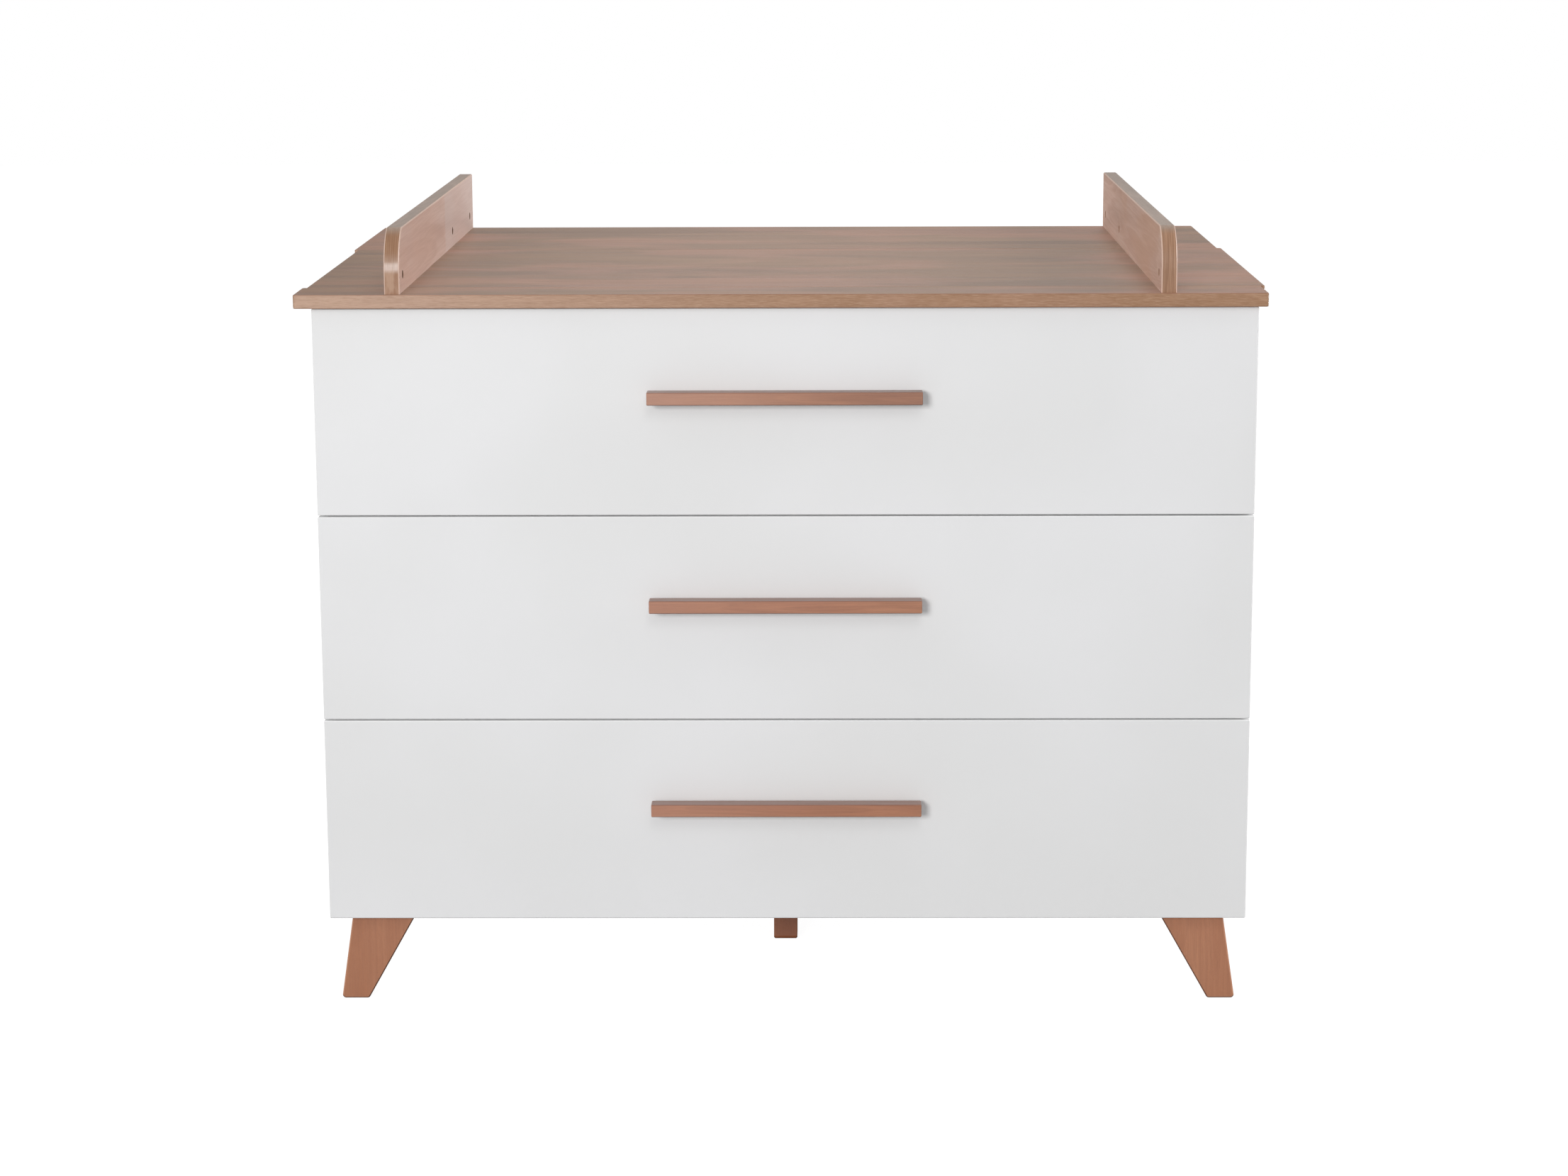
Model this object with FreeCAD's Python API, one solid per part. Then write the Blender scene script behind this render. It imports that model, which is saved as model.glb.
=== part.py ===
import FreeCAD, Part

import math
import os

from FreeCAD import Placement, Rotation, Vector

# A three-drawer dresser on splayed wooden legs that carries a changing kit: a front strip, a rear
# board and two rails, bolted into one frame round the dresser's own top.
# Millimetres. +X is to the right seen from the front, +Y to the rear, +Z up. The origin is on the
# floor under the centre of the whole outline, with the handles and the overhanging rear board.

# ---- Driving dimensions -------------------------------------------------------------------------

# The three boards of the top layer
board_length = 1130.0
board_thickness = 16.0
board_corner_radius = 3.5
board_arris = 0.8
strip_depth = 70.0
dresser_top_depth = 406.0
rear_board_depth = 284.0
kit_shift = 5.0  # the kit lies this far left of the dresser it sits on

# Rails of the changing kit
rail_height = 75.0
rail_thickness = 18.0
rail_end_distance = 106.0
rail_front_inset = 5.0
rail_nose_radius = 50.0
rail_nose_setback = 33.0
rail_arris = 1.2

# Barrel nuts and bolts that hold the rails on the strip and on the rear board
nut_radius = 4.9
nut_length = 12.0
nut_recess = 1.0
nut_rise = 20.0
rear_nut_front_distance = 47.0
rear_nut_back_distance = 38.0
nut_slot_width = 1.2
nut_slot_depth = 0.8
bolt_radius = 3.0
bolt_end_past_nut = 3.0
bolt_head_radius = 5.5
bolt_head_height = 3.0

# White carcass
board_overhang = 16.0
panel_thickness = 16.0
floor_to_fronts = 110.0
bottom_reveal = 2.0
front_stretcher_depth = 90.0
rear_stretcher_height = 80.0
back_thickness = 3.0
back_inset = 10.0
groove_depth = 6.0
joiner_flange_width = 14.0
joiner_flange_thickness = 1.0

# Drawer fronts
drawer_count = 3
front_height = 245.0
front_thickness = 16.0
front_gap = 2.0
front_overhang = 1.0
front_arris = 1.0
front_setback = 9.0
top_reveal = 1.0
closing_gap = 1.5

# Drawer boxes
box_side_height = 170.0
box_side_thickness = 12.0
box_rear_clearance = 15.0
box_floor_thickness = 5.0
box_floor_rise = 12.0
box_floor_clearance = 4.0

# Handles
handle_length = 320.0
handle_height = 15.0
handle_depth = 19.0
handle_standoff = 11.0
handle_rise = 20.0
handle_post_spacing = 288.0
handle_arris = 0.8
post_radius = 4.0

# Legs
leg_thickness = 30.0
leg_foot_width = 33.0
leg_top_width = 79.0
leg_splay = 17.0
leg_end_inset = 23.5
leg_front_inset = 8.5
leg_foot_radius = 4.0
leg_arris = 1.5
centre_leg_front_distance = 250.0

# Telescopic runners: three nested sections of rolled steel on each side of a drawer
runner_width = 12.7
runner_setback = 2.0
runner_end_distance = 16.5
runner_rise = 45.0
sheet_thickness = 1.2
member_gap = 0.8
cabinet_member_height = 45.0
cabinet_member_depth = 10.0
cabinet_lip = 2.8
bend_flat = 0.6
race_height = 3.8
carriage_width = 4.6
carriage_length = 80.0
carriage_clearance = 0.15
carriage_end_distance = 26.0

# Angle brackets under the rear board
bracket_width = 40.0
bracket_sheet = 2.5
bracket_arm = 110.0
bracket_drop = 50.0
bracket_end_distance = 265.0
bracket_end_radius = 8.0

# Clearances of pieces that sit in a hole or a groove
fitting_clearance = 0.1
seat_clearance = 0.3

# Edges are picked by where they lie: within same_place of a plane, or well_past it
same_place = 0.01
well_past = 1.0

# ---- Places that follow from them ---------------------------------------------------------------

kit_centre = -kit_shift / 2
body_centre = kit_shift / 2

handle_reach = handle_standoff + handle_depth
kit_depth = strip_depth + dresser_top_depth + rear_board_depth
overall_depth = kit_depth + handle_reach - front_setback
strip_front = -overall_depth / 2 + handle_reach - front_setback
face_y = strip_front + front_setback
front_back_y = face_y + front_thickness
carcass_front = front_back_y + closing_gap
top_front = strip_front + strip_depth
body_rear = top_front + dresser_top_depth
kit_rear = body_rear + rear_board_depth

drawer_pitch = front_height + front_gap
carcass_bottom = floor_to_fronts + bottom_reveal
carcass_top = floor_to_fronts + drawer_count * drawer_pitch - front_gap + top_reveal
board_top = carcass_top + board_thickness
rail_top = board_top + rail_height

carcass_half = board_length / 2 - board_overhang
side_inner = carcass_half - panel_thickness
bottom_top = carcass_bottom + panel_thickness
rear_stretcher_bottom = carcass_top - rear_stretcher_height
rear_stretcher_front = body_rear - panel_thickness
back_rear = body_rear - back_inset
back_front = back_rear - back_thickness

box_outer = side_inner - runner_width
box_inner = box_outer - box_side_thickness
box_rear = rear_stretcher_front - box_rear_clearance
box_rise = bottom_reveal + panel_thickness + box_floor_clearance
runner_front = carcass_front + runner_setback
runner_length = box_rear - runner_end_distance - runner_front

middle_member_height = cabinet_member_height - 2 * (sheet_thickness + race_height)
drawer_member_height = middle_member_height - 2 * (sheet_thickness + race_height)


# ---- Shapes -------------------------------------------------------------------------------------

def block(x, y, z):
    # A plain block between the low and high values of each pair.
    size = [high - low for low, high in (x, y, z)]
    return Part.makeBox(size[0], size[1], size[2], Vector(x[0], y[0], z[0]))


def eased_block(x, y, z, arris):
    # A block with every edge taken off alike.
    solid = block(x, y, z)
    return solid.makeChamfer(arris, solid.Edges)


def edges_along(shape, axis):
    # The straight edges that run along one axis: 0 for X, 1 for Y, 2 for Z.
    picked = []
    for edge in shape.Edges:
        if not isinstance(edge.Curve, (Part.Line, Part.LineSegment)):
            continue
        direction = edge.tangentAt(edge.FirstParameter)
        if abs(direction[axis]) > 1 - same_place:
            picked.append(edge)
    return picked


def pair(low_centre, half):
    return (low_centre - half, low_centre + half)


def cylinder(start, direction, length, radius):
    return Part.makeCylinder(radius, length, start, direction)


def spun(profile, start, direction):
    # A turned piece: profile is (radius, height) pairs from the axis round to the axis again.
    points = [Vector(radius, 0, height) for radius, height in profile]
    points.append(points[0])
    face = Part.Face(Part.makePolygon(points))
    solid = face.revolve(Vector(0, 0, 0), Vector(0, 0, 1), 360)
    solid.Placement = Placement(start, Rotation(Vector(0, 0, 1), direction))
    return solid


def headed_pin(seat, direction, length, radius, head_radius, head_height):
    # The head stands behind seat, its underside on it, and the shank runs along direction.
    profile = [
        (0, -head_height),
        (head_radius, -head_height),
        (head_radius, 0),
        (radius, 0),
        (radius, length),
        (0, length),
    ]
    return spun(profile, seat, direction)


def cut_all(shape, tools):
    for tool in tools:
        shape = shape.cut(tool)
    return shape


def save(name, solids):
    # One file for a node: a single solid, or a group of separate ones.
    if not isinstance(solids, list):
        solids = [solids]
    flat = []
    for item in solids:
        flat.extend(item.Solids)
    shape = flat[0] if len(flat) == 1 else Part.makeCompound(flat)
    shape.exportStep("parts/" + name + ".step")


forward = Vector(0, -1, 0)
up = Vector(0, 0, 1)
sides = (("left", -1), ("right", 1))


# ---- Top boards and rails -----------------------------------------------------------------------

rail_half = rail_thickness / 2
rail_middle = board_length / 2 - rail_end_distance - rail_half
rail_front = strip_front + rail_front_inset
nut_y_values = [
    strip_front + strip_depth / 2,
    body_rear + rear_nut_front_distance,
    kit_rear - rear_nut_back_distance,
]
nut_z = board_top + nut_rise
bolt_seat_z = carcass_top + bolt_head_height + seat_clearance


def rail_bolt_places():
    return [(kit_centre + side * rail_middle, y) for side in (-1, 1) for y in nut_y_values]


def top_board(centre, front, rear):
    # Board with corners rounded in plan and a small arris round both faces.
    half = board_length / 2
    solid = block(pair(centre, half), (front, rear), (carcass_top, board_top))
    solid = solid.makeFillet(board_corner_radius, edges_along(solid, 2))
    flat_loops = []
    for face in solid.Faces:
        if abs(face.normalAt(0, 0).z) > 0.9:
            flat_loops.extend(face.Edges)
    return solid.makeChamfer(board_arris, flat_loops)


def bolt_holes(front, rear):
    # Through holes with a counterbore below for the rail bolts between front and rear.
    tools = []
    for x, y in rail_bolt_places():
        if front < y < rear:
            foot = Vector(x, y, carcass_top)
            tools.append(cylinder(foot, up, board_thickness, bolt_radius + 2 * fitting_clearance))
            bore = bolt_head_radius + seat_clearance
            tools.append(cylinder(foot, up, bolt_seat_z - carcass_top, bore))
    return tools


def rail(side):
    # Board on edge: square behind, its front upright for a while and then curved back to the top.
    nose_back = rail_front + rail_nose_setback
    lean = rail_nose_radius - rail_nose_setback
    rise = math.sqrt(rail_nose_radius ** 2 - lean ** 2)
    nose_start = rail_top - rise
    angle = math.atan2(rise, -lean)
    middle_angle = (math.pi + angle) / 2
    centre_y = rail_front + rail_nose_radius
    halfway_y = centre_y + rail_nose_radius * math.cos(middle_angle)
    halfway_z = nose_start + rail_nose_radius * math.sin(middle_angle)
    x = kit_centre + side * rail_middle - rail_half
    foot_front = Vector(x, rail_front, board_top)
    nose_low = Vector(x, rail_front, nose_start)
    nose_mid = Vector(x, halfway_y, halfway_z)
    nose_top = Vector(x, nose_back, rail_top)
    top_rear = Vector(x, kit_rear, rail_top)
    foot_rear = Vector(x, kit_rear, board_top)
    outline = Part.Wire([
        Part.makeLine(foot_front, nose_low),
        Part.Arc(nose_low, nose_mid, nose_top).toShape(),
        Part.makeLine(nose_top, top_rear),
        Part.makeLine(top_rear, foot_rear),
        Part.makeLine(foot_rear, foot_front),
    ])
    solid = Part.Face(outline).extrude(Vector(rail_thickness, 0, 0))
    arris = []
    for edge in solid.Edges:
        box = edge.BoundBox
        crosswise = box.XLength > rail_thickness / 2
        on_foot = box.ZMax < board_top + same_place
        if not crosswise and not on_foot:
            arris.append(edge)
    solid = solid.makeChamfer(rail_arris, arris)
    inner_face = kit_centre + side * (rail_middle - rail_half)
    tools = []
    for y in nut_y_values:
        mouth = Vector(inner_face, y, nut_z)
        outward = Vector(side, 0, 0)
        depth = nut_recess + nut_length + seat_clearance
        tools.append(cylinder(mouth, outward, depth, nut_radius + fitting_clearance))
        foot = Vector(kit_centre + side * rail_middle, y, board_top)
        height = nut_rise + bolt_end_past_nut + seat_clearance
        tools.append(cylinder(foot, up, height, bolt_radius + 2 * fitting_clearance))
    return cut_all(solid, tools)


def barrel_nuts():
    nuts = []
    for side in (-1, 1):
        inner_face = kit_centre + side * (rail_middle - rail_half)
        start_x = inner_face + side * nut_recess
        for y in nut_y_values:
            nut = cylinder(Vector(start_x, y, nut_z), Vector(side, 0, 0), nut_length, nut_radius)
            below = Vector(kit_centre + side * rail_middle, y, nut_z - 2 * nut_radius)
            thread_length = 2 * nut_radius + bolt_end_past_nut + fitting_clearance
            thread = cylinder(below, up, thread_length, bolt_radius + fitting_clearance)
            slot_x = pair(start_x, nut_slot_depth)
            slot = block(slot_x, pair(y, nut_radius), pair(nut_z, nut_slot_width / 2))
            nuts.append(nut.cut(thread).cut(slot))
    return nuts


def rail_bolts():
    # Flat-headed bolts, their heads sunk in the boards from below.
    bolts = []
    length = nut_z + bolt_end_past_nut - bolt_seat_z
    for x, y in rail_bolt_places():
        seat = Vector(x, y, bolt_seat_z)
        bolts.append(headed_pin(seat, up, length, bolt_radius, bolt_head_radius, bolt_head_height))
    return bolts


# ---- Carcass ------------------------------------------------------------------------------------

def side_panel(side):
    # The back slides in a groove that runs up to the rear stretcher.
    low = body_centre + side * side_inner
    high = body_centre + side * carcass_half
    solid = block(sorted((low, high)), (carcass_front, body_rear), (carcass_bottom, carcass_top))
    groove_x = sorted((low, low + side * groove_depth))
    groove_y = (back_front - fitting_clearance, back_rear + fitting_clearance)
    groove_top = rear_stretcher_bottom + groove_depth
    return solid.cut(block(groove_x, groove_y, (carcass_bottom, groove_top)))


def bottom_panel():
    width = pair(body_centre, side_inner)
    solid = block(width, (carcass_front, body_rear), (carcass_bottom, bottom_top))
    groove_y = (back_front - fitting_clearance, back_rear + fitting_clearance)
    return solid.cut(block(width, groove_y, (bottom_top - groove_depth, bottom_top)))


def front_stretcher():
    depth = (carcass_front, carcass_front + front_stretcher_depth)
    return block(pair(body_centre, side_inner), depth, (carcass_top - panel_thickness, carcass_top))


def rear_stretcher():
    # Upright board under the back edge of the dresser's top, grooved below for the back.
    width = pair(body_centre, side_inner)
    solid = block(width, (rear_stretcher_front, body_rear), (rear_stretcher_bottom, carcass_top))
    groove_y = (back_front - fitting_clearance, back_rear + fitting_clearance)
    groove_z = (rear_stretcher_bottom, rear_stretcher_bottom + groove_depth)
    return solid.cut(block(width, groove_y, groove_z))


def back_panel(side):
    # Half of the thin back, in grooves on three sides and in the joiner on the fourth.
    seam = body_centre + side * (joiner_flange_thickness / 2 + fitting_clearance)
    edge = body_centre + side * (side_inner + groove_depth - seat_clearance)
    low = bottom_top - groove_depth + fitting_clearance
    high = rear_stretcher_bottom + groove_depth - seat_clearance
    return block(sorted((seam, edge)), (back_front, back_rear), (low, high))


def back_joiner():
    # H-shaped plastic strip that grips both halves of the back.
    half_web = joiner_flange_thickness / 2
    height = (bottom_top, rear_stretcher_bottom)
    web_y = (back_front - fitting_clearance, back_rear + fitting_clearance)
    web = block(pair(body_centre, half_web), web_y, height)
    flange_x = pair(body_centre, joiner_flange_width / 2)
    inner = block(flange_x, (web_y[0] - joiner_flange_thickness, web_y[0]), height)
    outer = block(flange_x, (web_y[1], web_y[1] + joiner_flange_thickness), height)
    return web.fuse([inner, outer]).removeSplitter()


# ---- Legs ---------------------------------------------------------------------------------------

leg_rear_y = body_rear - leg_front_inset
leg_front_y = carcass_front + leg_front_inset


def tapered_leg():
    # The leg standing on the origin's floor, its steep edge at X = 0 and its slanted one on +X.
    foot_outer = Vector(-leg_splay, 0, 0)
    foot_inner = Vector(leg_foot_width - leg_splay, 0, 0)
    top_inner = Vector(leg_top_width, 0, carcass_bottom)
    top_outer = Vector(0, 0, carcass_bottom)
    outline = Part.makePolygon([foot_outer, foot_inner, top_inner, top_outer, foot_outer])
    solid = Part.Face(outline).extrude(Vector(0, leg_thickness, 0))
    foot_edges = []
    for edge in edges_along(solid, 1):
        if edge.BoundBox.ZMax < well_past:
            foot_edges.append(edge)
    solid = solid.makeFillet(leg_foot_radius, foot_edges)
    slopes = []
    for edge in solid.Edges:
        box = edge.BoundBox
        if box.YLength < same_place and box.ZMin < carcass_bottom - well_past:
            slopes.append(edge)
    return solid.makeChamfer(leg_arris, slopes)


def corner_leg(side, y_low):
    # side is -1 on the left; the slanted edge faces the middle of the dresser.
    solid = tapered_leg()
    outer = carcass_half - leg_end_inset
    if side > 0:
        solid = solid.mirror(Vector(0, 0, 0), Vector(1, 0, 0))
    solid.translate(Vector(body_centre + side * outer, y_low, 0))
    return solid


def centre_leg():
    # The same leg turned a quarter, steep edge forward, in line with the changing kit.
    solid = tapered_leg()
    solid.rotate(Vector(0, 0, 0), Vector(0, 0, 1), 90)
    front = strip_front + centre_leg_front_distance + leg_splay
    solid.translate(Vector(kit_centre + leg_thickness / 2, front, 0))
    return solid


# ---- Brackets under the rear board --------------------------------------------------------------

def bracket(side):
    # Bent steel strip, its two ends rounded, one arm on the stretcher and one under the board.
    middle = body_centre + side * (board_length / 2 - bracket_end_distance)
    x = pair(middle, bracket_width / 2)
    arm = block(x, (body_rear, body_rear + bracket_arm), (carcass_top - bracket_sheet, carcass_top))
    drop = block(x, (body_rear, body_rear + bracket_sheet), (carcass_top - bracket_drop, carcass_top))
    arm_ends = [edge for edge in edges_along(arm, 2) if edge.BoundBox.YMin > body_rear + well_past]
    arm = arm.makeFillet(bracket_end_radius, arm_ends)
    drop_ends = [edge for edge in edges_along(drop, 1) if edge.BoundBox.ZMax < carcass_top - well_past]
    drop = drop.makeFillet(bracket_end_radius, drop_ends)
    return arm.fuse(drop).removeSplitter()


# ---- Telescopic runners -------------------------------------------------------------------------
# Each section is drawn as the centre line of its bent sheet, with X counted inwards from the side
# panel, so the left and right runners are mirror images.

def runner_z(index):
    return front_bottom(index) + box_rise + runner_rise


def sheet_section(line):
    # Face of a sheet of even thickness whose centre line, seen from the front, has square bends.
    half = sheet_thickness / 2
    normals = []
    for start, end in zip(line, line[1:]):
        run = end - start
        run.normalize()
        normals.append(Vector(-run.z, 0, run.x))
    steps = [normals[0]]
    for before, after in zip(normals, normals[1:]):
        steps.append(before + after)
    steps.append(normals[-1])
    ring = [point + step * half for point, step in zip(line, steps)]
    ring += [point - step * half for point, step in zip(line[::-1], steps[::-1])]
    return Part.Face(Part.makePolygon(ring + ring[:1]))


def rolled_section(points, index, side):
    # The sheet drawn out to a runner and eased at its bends.
    wall = body_centre + side * side_inner
    middle = runner_z(index)
    line = [Vector(wall - side * x, runner_front, middle + rise) for x, rise in points]
    solid = sheet_section(line).extrude(Vector(0, runner_length, 0))
    bends = []
    for edge in edges_along(solid, 1):
        x = side * (wall - edge.CenterOfMass.x)
        rise = abs(edge.CenterOfMass.z - middle)
        for corner_x, corner_rise in points[1:-1]:
            outside_x = abs(abs(x - corner_x) - sheet_thickness / 2) < same_place
            outside_z = abs(rise - abs(corner_rise) - sheet_thickness / 2) < same_place
            if outside_x and outside_z:
                bends.append(edge)
                break
    return solid.makeChamfer(bend_flat, bends)


def cabinet_member():
    # Deep channel with lips that keep the carriages in.
    half = (cabinet_member_height - sheet_thickness) / 2
    web = sheet_thickness / 2
    tip = cabinet_member_depth - sheet_thickness / 2
    lip = cabinet_member_height / 2 - cabinet_lip
    return [(tip, -lip), (tip, -half), (web, -half), (web, half), (tip, half), (tip, lip)]


def middle_member():
    half = (middle_member_height - sheet_thickness) / 2
    web = 1.5 * sheet_thickness + member_gap
    tip = runner_width - sheet_thickness / 2 - member_gap
    return [(tip, -half), (web, -half), (web, half), (tip, half)]


def drawer_member():
    # Shallow channel that faces the other way, its web on the drawer side.
    half = (drawer_member_height - sheet_thickness) / 2
    web = runner_width - sheet_thickness / 2
    tip = 2 * sheet_thickness + 2 * member_gap
    return [(tip, -half), (web, -half), (web, half), (tip, half)]


def both_sides(points, index):
    return [rolled_section(points, index, side) for side in (-1, 1)]


def ball_carriage(index, side, x_inward, rise, start_y):
    # Plastic block that holds a row of balls between two flanges.
    x = body_centre + side * (side_inner - x_inward)
    height = pair(runner_z(index) + rise, race_height / 2 - carriage_clearance)
    return block(pair(x, carriage_width / 2), (start_y, start_y + carriage_length), height)


def middle_runners(index):
    # The middle sections with their carriages: the outer ones near the rear end and the inner ones
    # near the front end, where the neighbouring section still covers them with the drawer fully out.
    solids = both_sides(middle_member(), index)
    outer_rise = (middle_member_height + race_height) / 2
    inner_rise = (drawer_member_height + race_height) / 2
    outer_start = runner_front + runner_length - carriage_end_distance - carriage_length
    inner_start = runner_front + carriage_end_distance
    outer_x = (sheet_thickness + cabinet_member_depth) / 2
    inner_x = (3 * sheet_thickness + 2 * member_gap + cabinet_member_depth) / 2
    for side in (-1, 1):
        for sign in (-1, 1):
            solids.append(ball_carriage(index, side, outer_x, sign * outer_rise, outer_start))
            solids.append(ball_carriage(index, side, inner_x, sign * inner_rise, inner_start))
    return solids


# ---- Drawers ------------------------------------------------------------------------------------
# Drawer 1 is the top one.

def front_bottom(index):
    return floor_to_fronts + (drawer_count - 1 - index) * drawer_pitch


def handle_z(index):
    return front_bottom(index) + front_height / 2 + handle_rise


def drawer_front(index):
    bottom = front_bottom(index)
    half = carcass_half + front_overhang
    depth = (face_y, front_back_y)
    solid = eased_block(pair(body_centre, half), depth, (bottom, bottom + front_height), front_arris)
    groove_x = pair(body_centre, box_inner + groove_depth)
    floor_z = bottom + box_rise + box_floor_rise
    groove_z = (floor_z - fitting_clearance, floor_z + box_floor_thickness + fitting_clearance)
    return solid.cut(block(groove_x, (front_back_y - groove_depth, front_back_y), groove_z))


def box_side(index, side):
    bottom = front_bottom(index) + box_rise
    x = sorted((body_centre + side * box_outer, body_centre + side * box_inner))
    solid = block(x, (front_back_y, box_rear), (bottom, bottom + box_side_height))
    top_edges = [edge for edge in edges_along(solid, 1) if edge.BoundBox.ZMin > bottom + well_past]
    solid = solid.makeChamfer(board_arris, top_edges)
    floor_z = bottom + box_floor_rise
    groove_x = sorted((body_centre + side * box_inner, body_centre + side * (box_inner + groove_depth)))
    groove_z = (floor_z - fitting_clearance, floor_z + box_floor_thickness + fitting_clearance)
    return solid.cut(block(groove_x, (front_back_y, box_rear), groove_z))


def box_back(index):
    # The back stands on the floor panel between the sides.
    bottom = front_bottom(index) + box_rise
    low = bottom + box_floor_rise + box_floor_thickness
    depth = (box_rear - box_side_thickness, box_rear)
    solid = block(pair(body_centre, box_inner), depth, (low, bottom + box_side_height))
    top_edges = [edge for edge in edges_along(solid, 0) if edge.BoundBox.ZMin > low + well_past]
    return solid.makeChamfer(board_arris, top_edges)


def box_floor(index):
    low = front_bottom(index) + box_rise + box_floor_rise
    half = box_inner + groove_depth - seat_clearance
    front = front_back_y - groove_depth + seat_clearance
    return block(pair(body_centre, half), (front, box_rear), (low, low + box_floor_thickness))


def handle_bar(index):
    depth = (face_y - handle_reach, face_y - handle_standoff)
    height = pair(handle_z(index), handle_height / 2)
    return eased_block(pair(body_centre, handle_length / 2), depth, height, handle_arris)


def handle_posts(index):
    # Round metal posts that hold the bar off the front.
    posts = []
    for side in (-1, 1):
        foot = Vector(body_centre + side * handle_post_spacing / 2, face_y, handle_z(index))
        posts.append(cylinder(foot, forward, handle_standoff, post_radius))
    return posts


# ---- The whole dresser --------------------------------------------------------------------------

def write_top_and_kit():
    strip = top_board(kit_centre, strip_front, top_front)
    save("front_strip", cut_all(strip, bolt_holes(strip_front, top_front)))
    save("dresser_top", top_board(body_centre, top_front, body_rear))
    board = top_board(kit_centre, body_rear, kit_rear)
    save("rear_board", cut_all(board, bolt_holes(body_rear, kit_rear)))
    for name, side in sides:
        save(name + "_rail", rail(side))
    save("rail_barrel_nuts", barrel_nuts())
    save("rail_bolts", rail_bolts())
    save("rear_board_brackets", [bracket(-1), bracket(1)])


def write_carcass():
    for name, side in sides:
        save(name + "_side_panel", side_panel(side))
        save(name + "_back_panel", back_panel(side))
    save("bottom_panel", bottom_panel())
    save("front_top_stretcher", front_stretcher())
    save("rear_top_stretcher", rear_stretcher())
    save("back_panel_joiner", back_joiner())
    for name, side in sides:
        save("front_" + name + "_leg", corner_leg(side, leg_front_y))
        save("rear_" + name + "_leg", corner_leg(side, leg_rear_y - leg_thickness))
    save("centre_leg", centre_leg())


def write_drawer(index):
    number = str(index + 1)
    label = "drawer_" + number + "_"
    save(label + "front", drawer_front(index))
    for name, side in sides:
        save(label + name + "_side", box_side(index, side))
    save(label + "back", box_back(index))
    save(label + "floor", box_floor(index))
    save(label + "handle_bar", handle_bar(index))
    save(label + "handle_posts", handle_posts(index))
    save(label + "runners", both_sides(drawer_member(), index))
    save("middle_runners_" + number, middle_runners(index))
    save("cabinet_runners_" + number, both_sides(cabinet_member(), index))


os.makedirs("parts", exist_ok=True)
write_top_and_kit()
write_carcass()
for drawer in range(drawer_count):
    write_drawer(drawer)
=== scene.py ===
import math

import bmesh
import bpy
from mathutils import Matrix, Vector


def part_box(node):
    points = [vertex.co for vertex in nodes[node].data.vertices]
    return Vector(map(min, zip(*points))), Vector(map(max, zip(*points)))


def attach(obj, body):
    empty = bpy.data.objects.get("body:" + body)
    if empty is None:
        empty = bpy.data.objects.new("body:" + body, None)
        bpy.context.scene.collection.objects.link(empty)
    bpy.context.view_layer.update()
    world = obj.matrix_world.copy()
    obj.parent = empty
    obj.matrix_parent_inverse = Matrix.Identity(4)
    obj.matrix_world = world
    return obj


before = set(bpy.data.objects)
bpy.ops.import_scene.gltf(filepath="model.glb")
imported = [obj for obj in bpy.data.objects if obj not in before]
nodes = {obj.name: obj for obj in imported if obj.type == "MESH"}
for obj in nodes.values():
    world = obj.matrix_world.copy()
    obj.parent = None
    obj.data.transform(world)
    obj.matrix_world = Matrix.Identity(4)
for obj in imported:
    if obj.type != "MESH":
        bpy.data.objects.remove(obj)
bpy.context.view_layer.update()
scene = bpy.context.scene
print("frame loaded:", len(nodes), "nodes")


# Camera and studio first, so that every later stage can be looked at

photoCamera = {
    "place": (0.0491, -3.8783, 1.3046),
    "pixelFocal": 4310.3,
    "pixelWidth": 2212,
    "sensorWidth": 36,
    "pitch": 0.1743,
    "yaw": -0.0099,
    "roll": -0.0036,
    "shiftX": -0.0071,
    "shiftY": -0.09,
    "nearest": 0.1,
    "farthest": 60,
}


def makeCamera(settings):
    data = bpy.data.cameras.new("photoCamera")
    data.sensor_width = settings["sensorWidth"]
    data.lens = settings["pixelFocal"] / settings["pixelWidth"] * settings["sensorWidth"]
    data.shift_x = settings["shiftX"]
    data.shift_y = settings["shiftY"]
    data.clip_start = settings["nearest"]
    data.clip_end = settings["farthest"]
    camera = bpy.data.objects.new("photoCamera", data)
    scene.collection.objects.link(camera)
    turn = Matrix.Rotation(-settings["yaw"], 4, "Z")
    lean = Matrix.Rotation(math.pi / 2 - settings["pitch"], 4, "X")
    tilt = Matrix.Rotation(settings["roll"], 4, "Z")
    camera.matrix_world = Matrix.Translation(settings["place"]) @ turn @ lean @ tilt
    scene.camera = camera


white = (1, 1, 1, 1)

studio = {
    "aim": (0.0, 0.0, 0.50),  # where the lamps look, unless one has its own aim
    "roomColour": (0.99, 0.995, 1, 1),
    "roomLight": 0.33,
    "backgroundLight": 1.0,
    "floorColour": (0.20, 0.20, 0.20, 1),
    "floorRoughness": 0.9,
    "floorSpecular": 0.1,
    "floorGlow": 0.945,
    "floorBounce": (0.42, 0.42, 0.42, 1),
    "floorSize": 24.0,
    "lamps": {
        "keyLight": {"place": (-2.1, -7.0, 2.28), "size": 1.7, "power": 277.0},
        "fillLight": {"place": (0.25, -3.9, 3.0), "size": 1.2, "power": 19.0},
        "backLight": {"place": (0.15, 3.2, 3.6), "size": 2.4, "power": 47.0},
        "lowLeftLight": {"place": (-3.1, 1.9, 0.36), "size": 0.6, "power": 19.0},
        "lowRightLight": {"place": (3.1, 1.9, 0.36), "size": 0.6, "power": 19.0},
        "leftLight": {"place": (-3.6, -0.2, 2.0), "size": 1.6, "power": 13.0},
        "rightLight": {"place": (3.6, -0.2, 2.0), "size": 1.6, "power": 62.0},
        "skyLight": {"place": (-0.4, -0.2, 3.6), "size": 3.2, "power": 10.0, "aim": (-0.4, -0.19, 0)},
    },
}


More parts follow.
